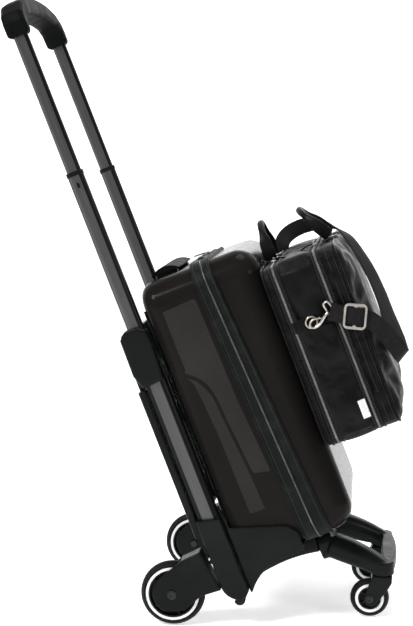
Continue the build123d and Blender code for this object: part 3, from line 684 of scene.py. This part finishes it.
def side_pocket(name, sign):
    """The flat pocket on one end of the bag, with a bound top edge."""
    y0, y1 = sorted((sign * (BAG_HALF - 4), sign * (BAG_HALF + 3.5)))
    block = ((POCKET_REAR, POCKET_FRONT), (y0, y1), (POCKET_LOW, POCKET_HIGH))
    pocket, index, counts = soft_block(name, block, 3.5, (3, 3), 5.0, "leather", "laptop_bag")
    inner = 0 if sign > 0 else counts[1]
    rim = [v for key, v in index.items()
           if key[1] == inner or key[0] in (0, counts[0]) or key[2] in (0, counts[2])]
    puffed(pocket, rim, 3.0, 4.5, slack=0.03)
    wrinkled(pocket, 30, 1.6, 5.0 + sign, (1, 1, 1.8))
    subdivided(pocket)
    edge = [at(w, POCKET_HIGH + 0.5 + 1.5 * math.sin(w * 0.13), sign * (BAG_HALF + 2.4))
            for w in range(POCKET_REAR - 1, POCKET_FRONT + 2, 2)]
    line(f"{name}_binding", edge, 2.0, "piping", "laptop_bag", side=Y_DIR)


def bag_seams():
    """The piping round the front panel and the rows of stitches beside it."""
    body = "laptop_bag"
    for w, out, mark in ((FRONT_SEAM, -0.3, "front"), (340.5, -0.6, "rear")):
        ring(f"bag_piping_{mark}", bag_way(), level(w), round_profile(2.2, out), "piping", body)
    for w, mark in ((FRONT_SEAM - 5, "front"), (445.5, "middle")):
        studs(f"bag_stitches_{mark}", bag_way(0.0, 0.999, 4.2), level(w), (3.0, 0.7, 0.6), 0.6, "thread", body,
              sink=2.0)


def rear_tuck(sign, mark):
    """The seam across the rear compartment's end."""
    points = [at(w, 384, sign * (BAG_HALF + 0.2)) for w in range(341, 352, 2)]
    line(f"bag_tuck_{mark}", points, 1.2, "piping", "laptop_bag", side=Y_DIR)


def blank_label():
    """The blank white label sewn to the right side pocket."""
    meet = touching(bpy.data.objects["bag_pocket_right"], -1)
    low_w, low_u, wide, high, thick = 410.5, 213, 12, 30, 1.1
    flat_to = 418  # past this w the pocket's edge curves away under the label

    def place(a, b, c):
        w, u = low_w + wide * a, low_u + high * c
        return at(w, u, meet(min(w, flat_to), u) - 0.9 + thick * b)

    verts, faces, _ = lattice((5, 1, 10), place)
    piece("bag_label", verts, faces, "label", "laptop_bag")


HANDLE_HALF = 46.0  # half the distance between a bag handle's feet


def bag_handle(body, foot, lean, rise):
    """An arched leather handle: flat where it is sewn down, rolled round a cord at the top."""
    name, half = f"{body}_strap", HANDLE_HALF
    up = (U_DIR * rise + W_DIR * lean).normalized()
    height = math.hypot(rise, lean) - 2.5
    base = at(*foot)
    radius = (half * half + height * height) / (2 * height)
    centre = height - radius
    end = math.asin(min(-centre / radius, 1))
    turns = [end + (math.pi - 2 * end) * k / 48 for k in range(49)]
    points = [base + Y_DIR * (radius * math.cos(t) * MM) + up * ((centre + radius * math.sin(t)) * MM)
              for t in turns]
    side = Y_DIR.cross(up)

    def profile(t):
        roll = max(0.0, min(1.0, (0.5 - abs(t - 0.5)) * 6 - 0.8))
        roll = roll * roll * (3 - 2 * roll)
        width, thick, power = 21 - 9.5 * roll, 3.4 + 6.2 * roll, 0.45 + 0.45 * roll
        return [(width / 2 * math.copysign(abs(a) ** power, a), thick / 2 * math.copysign(abs(b) ** power, b))
                for a, b in circle(1, 16)]

    handle = swept(name, points, [side] * 49, profile, "leather", body)
    wrinkled(handle, 9, 0.5, 2.0)
    subdivided(handle)
    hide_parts(body)
    for sign, mark in ((1, "rear"), (-1, "front")):
        path = []
        for t, point in list(zip(turns, points))[13:36]:
            radial = Y_DIR * math.cos(t) + up * math.sin(t)
            path.append(point - radial * (4.9 * MM) + side * (sign * 1.2 * MM))
        line(f"{name}_seam_{mark}", path, 0.55, "thread", body, side=side, count=6)
    for sign, mark in ((1, "left"), (-1, "right")):
        w, low = foot[0], BAG_HIGH + 0.4
        block = ((w - 12.5, w + 12.5), (sign * (half + 2) - 13, sign * (half + 2) + 13), (low, low + 2.6))
        soft_block(f"{name}_chape_{mark}", block, 1.2, (4, 4), 2.6, "leather", "laptop_bag")
        pin = [at(w - 12 + 24 * k / 12, low + 4.2, sign * (half - 2)) for k in range(13)]
        wire(f"{name}_pin_{mark}", pin, 1.5)


def build_bag():
    bag_body("bag_rear_skin", BAG_REAR, ZIP_REAR, (2, 3), "bag_rear_body", 0.02, (4.0, 3.0), 1.0)
    bag_body("bag_main_skin", ZIP_REAR, ZIP_FRONT, (3, 3), "bag_main_body", 0.03, (4.0, 4.5), 7.0)
    bag_body("bag_front_skin", ZIP_FRONT, BAG_FRONT, (3, 9), "bag_front_body", 0.035, (4.5, 13.0), 11.0,
             seam_w=(FRONT_SEAM,))
    zip_run("bag_zip_rear", ZIP_REAR)
    zip_run("bag_zip_front", ZIP_FRONT)
    zip_pull("bag_pull_rear", ZIP_REAR, -96, 1)
    zip_pull("bag_pull_front", ZIP_FRONT, -58, -1)
    bag_seams()
    for sign, mark in SIDES:
        side_pocket(f"bag_pocket_{mark}", sign)
        rear_tuck(sign, mark)
    blank_label()
    bag_handle("bag_handle_rear", (352, BAG_HIGH + 4.5, 0), 2, 64)
    bag_handle("bag_handle_front", (456, BAG_HIGH + 7.5, 0), -36, 58)


# the shoulder strap's middle line as (w, u, y), each with its side direction as (w, u, y)
STRAP_ROUTE = (
    ((421, 391, -199), (0.3, 0.95, 0)),
    ((437, 379.5, -198.6), (0.35, 0.94, 0)),
    ((455, 370, -206.0), (0.4, 0.91, 0)),
    ((472, 359, -199.5), (0.48, 0.87, 0)),
    ((485, 340, -202), (0.58, 0.81, 0)),
    ((495, 314, -202), (0.7, 0.7, 0)),
    ((500, 293, -196), (0.8, 0.6, 0)),
    ((502, 283, -184), (0.84, 0.53, 0)),
    ((501, 284, -169), (0.84, 0.5, 0)),
    ((500, 296, -146), (0.8, 0.25, 0.2)),
    ((500, 318, -110), (0.75, -0.1, 0.45)),
    ((500, 346, -66), (0.7, -0.4, 0.55)),
    ((499, 378, -24), (0.7, -0.5, 0.55)),
    ((495, 412, 14), (0.7, -0.5, 0.5)),
    ((488, 446, 44), (0.65, -0.5, 0.5)),
    ((476, 482, 72), (0.6, -0.6, 0.5)),
    ((450, 508, 98), (0.4, -0.8, 0.4)),
    ((412, 517, 126), (0.1, -1, 0.2)),
    ((380, 512, 156), (0.1, -1, 0.1)),
    ((361, 498, 184), (0.5, -0.8, 0.1)),
    ((357, 476, 200), (0.95, -0.3, 0)),
    ((366, 450, 203.5), (1, 0.1, 0)),
    ((378, 428, 203.5), (1, 0.3, 0)),
)


def strap_stations():
    """Points and side directions along the shoulder strap."""
    found = smooth_path([(*place, *side) for place, side in STRAP_ROUTE], 6)
    return [at(*r[:3]) for r in found], [W_DIR * r[3] + U_DIR * r[4] + Y_DIR * r[5] for r in found]


def build_strap():
    """The webbing strap from the right hook, up in front of the bag and over its top to the left hook."""
    centres, sides = strap_stations()
    strap = swept("shoulder_strap_webbing", centres, sides, flat_profile(28, 1.9, 1.0), "webbing", "laptop_bag")
    last = len(centres) - 1
    wrinkled(strap, 60, 0.7, 9.0)
    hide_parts("shoulder_strap")
    length = sum((b - a).length for a, b in zip(centres, centres[1:]))
    for sign, mark in ((1, "upper"), (-1, "lower")):
        edge = []
        for k, (c, s) in enumerate(zip(centres, sides)):
            along = (centres[min(k + 1, last)] - centres[max(k - 1, 0)]).normalized()
            s = (s - along * s.dot(along)).normalized()
            edge.append(c + s * (sign * 12.2 * MM) + along.cross(s) * (0.6 * MM))
        line(f"shoulder_strap_edge_{mark}", edge, 0.75, "webbing", "laptop_bag", count=6)


# the snap hook's claw and its frame for the strap, in millimetres along and across the hook
CLAW = (
    (9, 3.2), (5, 5.4), (0, 6.0), (-4.6, 4.2), (-7, 0.4), (-5.6, -3.6), (-1.6, -6.0), (4, -6.2), (10, -5.0),
    (15, -3.0), (20, -1.2), (24, 0),
)
STRAP_LOOP = (
    (28, 0), (29, 13), (31, 15.4), (35, 15.8), (38, 14), (38.4, 0), (38, -14), (35, -15.8), (31, -15.4),
    (29, -13), (28, 0),
)
RING_W, RING_U = 384, 384


def end_fitting(mark, sign, tip, turn):
    """A leather tab with a wire ring on the bag's end, and the snap hook that joins it to the strap."""
    w, u = RING_W, RING_U
    tab = ((w - 27, w - 2), sorted((sign * BAG_HALF, sign * (BAG_HALF + 3))), (u - 10, u + 10))
    soft_block(f"ring_tab_{mark}", tab, 1.4, (2, 2), 2.4, "piping", "laptop_bag")
    radius = 9
    turns = [2 * math.pi * k / 32 for k in range(33)]
    loop = [at(w + 4 + radius * math.cos(t), u + radius * math.sin(t), sign * (BAG_HALF + 4.6)) for t in turns]
    hoop = wire(f"bag_ring_{mark}", loop, 1.6)
    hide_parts("strap_rings")
    cw, cu = math.cos(math.radians(turn)), math.sin(math.radians(turn))

    def local(a, b):
        return at(tip[0] + a * cw - b * cu, tip[1] + a * cu + b * cw, sign * (BAG_HALF + 8))

    centres = [local(*p) for p in smooth_path(CLAW, 4)]
    hook = swept(f"snap_hook_{mark}", centres, [Y_DIR] * len(centres), lambda t: circle(1.5 + 1.3 * t, 10),
                 "nickel", "laptop_bag")
    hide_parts("snap_hooks")
    wire(f"snap_gate_{mark}", [local(9 + 7 * t / 6, 3.2 - 4.4 * t / 6) for t in range(7)], 1.1)
    wire(f"snap_knob_{mark}", [local(13 - 0.2 * t, 0.6 + 1.1 * t) for t in range(4)], 1.3)
    wire(f"snap_swivel_{mark}", [local(23 + t, 0) for t in range(6)], 2.9, count=14)
    wire(f"snap_loop_{mark}", [local(*p) for p in smooth_path(STRAP_LOOP, 4)], 1.6)


def strap_ends():
    """The strap's ends, folded back over the hooks' loops and sewn down."""
    centres, sides = strap_stations()
    for mark, sign, chosen in (("right", -1, slice(0, 9)), ("left", 1, slice(-9, None))):
        lifted = [c + Y_DIR * (sign * 2.6 * MM) for c in centres[chosen]]
        swept(f"strap_fold_{mark}", lifted, sides[chosen], flat_profile(27.5, 1.8, 0.9), "webbing",
              "laptop_bag")


build_bag()
build_strap()
end_fitting("right", -1, (391, 381), 17)
end_fitting("left", 1, (390, 392), 104)
strap_ends()


# ---------------------------------------------------------------- the case
CASE_HALF, CASE_LOW, CASE_HIGH, CASE_CORNER = 163.5, 50.0, 530.0, 42.0  # half of y, lowest and highest u
PROUD = 4.0  # the zip band stands this far out of the shells
FLAT_FROM = 168.0  # w from which the case's sides are flat


def zip_line(u):
    """The w of the case's zip, which leans a little across the case."""
    return 274.6 - 0.0444 * u


BAND_EDGES = {"rear": lambda u: 252.0 - 0.0363 * u, "front": lambda u: 300.0 - 0.0650 * u}


def across_band(side, share):
    """The w_of_u of a line at a share of the way from the zip to a band's edge."""
    return lambda u: zip_line(u) + (BAND_EDGES[side](u) - zip_line(u)) * share


def case_way(start=None, stop=None, step=4.0, grow=0.0):
    """The way round the case, seen along w."""
    return outline(CASE_HALF + grow, CASE_LOW - grow, CASE_HIGH + grow, CASE_CORNER + grow, step, start, stop)


def case_zip():
    """Beads along both bands, the zip's teeth between them, and its two pulls."""
    way = case_way(grow=PROUD, step=5)
    for side, body, sign in (("rear", "chassis", -1), ("front", "case_lid", 1)):
        for k, share in enumerate((0.14, 0.86)):
            ring(f"band_bead_{side}_{k}", way, across_band(side, share), round_profile(1.9, -0.6), "band", body)
        ring(f"band_cord_{side}", way, lambda u, s=sign: zip_line(u) + s * 1.15,
             [(-3, -0.9), (0.4, -0.9), (0.4, 0.9), (-3, 0.9)], "webbing", body)
        studs(f"band_stitches_{side}", case_way(grow=PROUD, step=4.4), across_band(side, 0.72),
              (3.0, 0.7, 0.35), 0.0, "thread", body, sink=0.3)
    teeth = case_way(0.002, 0.998, 1.5, grow=PROUD)
    studs("case_zip_teeth", teeth, zip_line, (1.2, 2.1, 0.9), 0.3, "gunmetal", "chassis", shift=0.35,
          sink=0.2)
    u = CASE_HIGH + PROUD
    w = zip_line(u)
    for k, (y, lean) in enumerate(((-100, 1), (0, -1))):
        block = ((w - 4.5, w + 4.5), (y - 7, y + 7), (u + 0.6, u + 5.6))
        soft_block(f"case_pull_slider_{k}", block, 1.6, (1.2, 1.2), 1.3, "gunmetal", "case_lid")
        loop = []
        for n in range(25):
            turn = 2 * math.pi * n / 24
            rise = 4.2 + 1.4 * math.sin(turn / 2)
            loop.append(at(w + lean * (11 - 11 * math.cos(turn)), u + rise, y + 6.5 * math.sin(turn)))
        line(f"case_pull_loop_{k}", loop, 1.0, "gunmetal", "case_lid", side=U_DIR)


def side_plate(name, points, sign, depth):
    """A raised plate with softened edges on one side of the rear shell, drawn as w and u round its edge."""
    area = sum(a[0] * b[1] - b[0] * a[1] for a, b in zip(points, points[1:] + points[:1]))
    points = points[::-1] if area > 0 else points
    many = len(points)

    def loop(inset, out):
        found = []
        for k, (w, u) in enumerate(points):
            (w0, u0), (w1, u1) = points[k - 1], points[(k + 1) % many]
            long = math.hypot(w1 - w0, u1 - u0)
            lift = out if w > FLAT_FROM else min(out, -0.3)
            place = (w + (u1 - u0) / long * inset, u - (w1 - w0) / long * inset)
            found.append(at(*place, sign * (CASE_HALF + lift)))
        return found

    verts = loop(0, -0.6) + loop(0, depth * 0.45) + loop(0.7, depth * 0.88) + loop(1.8, depth)
    faces = quads(4, many) + [tuple(range(3 * many, 4 * many))]
    if sign > 0:
        faces = [f[::-1] for f in faces]
    # the plate takes the lighter copy of the shell colour, a painted highlight
    piece(name, verts, faces, "shell_side_painted_highlight", "chassis")


def rounded_polygon(corners, radius):
    """The outline of a polygon with its corners rounded off."""
    found, many, per = [], len(corners), 6
    for k in range(many):
        a, b, c = Vector(corners[k - 1]), Vector(corners[k]), Vector(corners[(k + 1) % many])
        reach = min(radius, (a - b).length * 0.45, (c - b).length * 0.45)
        start, end = b + (a - b).normalized() * reach, b + (c - b).normalized() * reach
        for n in range(per + 1):
            t = n / per
            found.append(tuple(start * (1 - t) ** 2 + b * (2 * t * (1 - t)) + end * t * t))
    return found


def case_sides():
    """The two levels pressed into each side of the shells, parted by a curved groove."""
    curve = smooth_path([(166, 373), (185, 356), (197, 327), (201, 281), (208, 193), (211, 128)], 8)
    upper = rounded_polygon([(166, 377), (166, 479), (227, 483), (231, 306), (240, 180), (211, 184)], 7)
    upper = [p for p in upper if not (p[1] < 190 and p[0] < 225)]
    upper = [p for p in upper if p[1] > 378 or p[0] > 215] + [(234, 182), (213, 186)]
    upper += [(w + 2.4, u + 1.6) for w, u in curve if u > 190][::-1]
    lower = [(w - 2.2, u - 2.2) for w, u in curve] + [(167, 126)]
    for sign, mark in SIDES:
        side_plate(f"case_side_upper_{mark}", upper, sign, 0.8)
        side_plate(f"case_side_lower_{mark}", lower, sign, 0.5)


def case_piping():
    """The stitched edge that shows beside the tubes, on the rear of the case."""
    for sign, mark in SIDES:
        y = sign * (CASE_HALF - 16)
        points = [at(140.6, u, y) for u in range(88, 492, 6)]
        line(f"case_rear_piping_{mark}", points, 2.0, "band", "chassis", side=Y_DIR)


def case_lining():
    """Cloth inside both shells, seen when the lid is open."""
    rows = 7
    for name, body, first, w_far, grow, corner in (
        ("lining_rear", "chassis", -3, 152.0, -7.0, 34), ("lining_front", "case_lid", 3, 326.0, -9.0, 46),
    ):
        verts = []
        way = case_way(grow=grow, step=14)
        many = len(way)
        for r in range(rows + 1):
            t = r / rows
            bend = max(0.0, t - 0.6) / 0.4
            for y, u, ny, nu in way:
                start = zip_line(u) + first
                fold = 0.5 * math.sin(u * 0.09 + y * 0.07 + t * 5)
                inset = corner * (1 - math.sqrt(max(1 - bend * bend, 0))) + fold
                verts.append(at(start + (w_far - start) * t, u - nu * inset, y - ny * inset))
        faces = quads(rows + 1, many) + [tuple(range(rows * many, (rows + 1) * many))]
        lining = piece(f"case_{name}", verts, faces, "lining", body)
        lining.data.materials[0].use_backface_culling = False


def build_spring():
    """The wire spring under the grip's button."""
    low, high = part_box("button_spring")
    middle = (low + high) / 2
    points = []
    for k in range(85):
        t = k / 84
        turn = t * 2 * math.pi * 3.5
        rise = (0.5 - t) * 4.6 * MM
        points.append(middle + (W_DIR * math.cos(turn) + Y_DIR * math.sin(turn)) * (3.3 * MM) - U_DIR * rise)
    coil = line("button_spring_coil", points, 0.35, "steel", "handle_top", side=U_DIR, count=6)
    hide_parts("button_spring")
    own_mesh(coil)


def body_name(node):
    """The body that a CAD node is on."""
    return next(name for name, empty in frame["bodies"].items() if empty == NODES[node].parent)


def softened(node, voxel, rounds):
    """A copy of a moulded CAD piece with its sharp edges eased, shown in its place."""
    data = NODES[node].data.copy()
    work = bmesh.new()
    work.from_mesh(data)
    bmesh.ops.remove_doubles(work, verts=work.verts, dist=0.00001)
    work.to_mesh(data)
    work.free()
    rough = linked("rough", data)
    remesh = rough.modifiers.new("remesh", "REMESH")
    remesh.mode, remesh.voxel_size = "VOXEL", voxel * MM
    smooth = rough.modifiers.new("smooth", "SMOOTH")
    smooth.factor, smooth.iterations = 0.5, rounds
    made = bpy.data.meshes.new_from_object(rough.evaluated_get(bpy.context.evaluated_depsgraph_get()))
    bpy.data.objects.remove(rough)
    made.name = f"{node}_moulded"
    made.shade_smooth()
    made.materials.clear()
    made.materials.append(NODES[node].data.materials[0])
    obj = linked(made.name, made)
    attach(obj, body_name(node))
    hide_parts(node)


def bolt_heads():
    """Socket-headed bolt ends on both ends of the rear and front axles."""
    many = 24
    faces = quads(5, many) + [tuple(range(4 * many, 5 * many))]
    for node, radius in (("rear_axles", 5.6), ("front_axle_left", 4.2), ("front_axle_right", 4.2)):
        low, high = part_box(node)
        x, z = (low.x + high.x) / 2, (low.z + high.z) / 2
        # radius, distance out, and whether the row is on the hexagonal socket
        rows = ((radius, -0.4, False), (radius, 0.7, False), (radius - 0.6, 1.3, False),
                (radius * 0.52, 1.3, True), (radius * 0.46, 0.1, True))
        for sign, mark, y in ((-1, "right", low.y), (1, "left", high.y)):
            verts = []
            for r, out, socket in rows:
                for n in range(many):
                    turn = 2 * math.pi * n / many
                    reach = r / math.cos((turn % (math.pi / 3)) - math.pi / 6) * 0.92 if socket else r
                    verts.append((x + reach * MM * math.cos(turn), y + sign * out * MM,
                                  z + reach * MM * math.sin(turn)))
            turned = faces if sign < 0 else [f[::-1] for f in faces]
            piece(f"bolt_{node}_{mark}", verts, turned, "steel", body_name(node), smooth=False)


case_zip()
case_sides()
case_piping()
case_lining()
build_spring()
bolt_heads()
for node, voxel, rounds in (
    ("grip", 1.0, 5), ("front_yoke", 1.6, 12), ("base_cradle", 1.8, 5),
    ("upper_bracket_left", 1.2, 6), ("upper_bracket_right", 1.2, 6),
    ("lower_bracket_left", 1.2, 6), ("lower_bracket_right", 1.2, 6),
    ("rear_fork_left", 1.2, 8), ("rear_fork_right", 1.2, 8),
    ("caster_fork_left", 0.9, 6), ("caster_fork_right", 0.9, 6),
):
    softened(node, voxel, rounds)


# ---------------------------------------------------------------- camera, light and floor
FOCAL_LENGTH, SENSOR_WIDTH = 92.01, 36
CAMERA_FROM_AXLE = (0.3113, -2.6782, 0.7888)  # from the floor under the rear axle, in metres


def make_camera():
    """A long lens from the right side, a little in front of the middle and looking slightly down."""
    yaw, pitch, roll = math.radians(5.780), math.radians(6.338), math.radians(-0.351)
    forward = Vector((-math.sin(yaw) * math.cos(pitch), math.cos(yaw) * math.cos(pitch), -math.sin(pitch)))
    right = Vector((math.cos(yaw), math.sin(yaw), 0))
    up = right.cross(forward)
    x_axis = right * math.cos(roll) + up * math.sin(roll)
    y_axis = up * math.cos(roll) - right * math.sin(roll)
    turn = Matrix((x_axis, y_axis, -forward)).transposed().to_4x4()
    data = bpy.data.cameras.new("camera")
    data.lens = FOCAL_LENGTH
    data.sensor_width = SENSOR_WIDTH
    camera = linked("camera", data)
    x, y, z = CAMERA_FROM_AXLE
    camera.matrix_world = Matrix.Translation((REAR_AXLE_X + x, y, z)) @ turn
    bpy.context.scene.camera = camera


def stage_plane(name, size, location, tilt, material, tone, rough, scale, glow):
    """One plane of the stage: nearly even, and lit a little from within so that it stays white."""
    bpy.ops.mesh.primitive_plane_add(size=size, location=location, rotation=(math.radians(tilt), 0, 0))
    plane = bpy.context.object
    plane.name = name
    s = Shader(material, (tone,) * 3, rough)
    s.colour(s.mix(s.noise(s.coords, scale, 2), (tone - 0.01,) * 3, (tone + 0.01,) * 3))
    s.bsdf.inputs["Emission Color"].default_value = (1, 1, 1, 1)
    s.bsdf.inputs["Emission Strength"].default_value = glow
    plane.data.materials.append(s.mat)
    return plane


def make_stage():
    """A pale floor and soft studio light."""
    floor = stage_plane("floor", 30, (0, 0, -0.0005), 0, "floor_pale", 0.93, 0.85, 3, 0.55)
    backdrop = stage_plane("backdrop", 40, (0, 9, 0), 90, "backdrop_white", 0.9, 0.9, 2, 0.95)
    world = bpy.data.worlds.new("studio")
    bpy.context.scene.world = world
    world.use_nodes = True
    light = world.node_tree.nodes["Background"].inputs
    light["Color"].default_value = (1, 1, 1, 1)
    light["Strength"].default_value = 0.16
    target = Vector((0, 0, 0.45))
    for name, place, size, power in (
        ("key", (-1.9, -2.0, 2.6), 0.8, 95),
        ("fill", (2.6, -1.6, 1.5), 0.9, 20),
        ("top", (0.2, 0.3, 3.0), 1.2, 34),
        ("back", (0.6, 2.6, 1.8), 1.8, 8),
    ):
        data = bpy.data.lights.new(name, "AREA")
        data.size = size
        data.energy = power
        lamp = linked(name, data)
        lamp.location = place
        lamp.rotation_euler = (target - Vector(place)).to_track_quat("-Z", "Y").to_euler()


make_camera()
make_stage()
bpy.context.scene.view_settings.view_transform = "Standard"
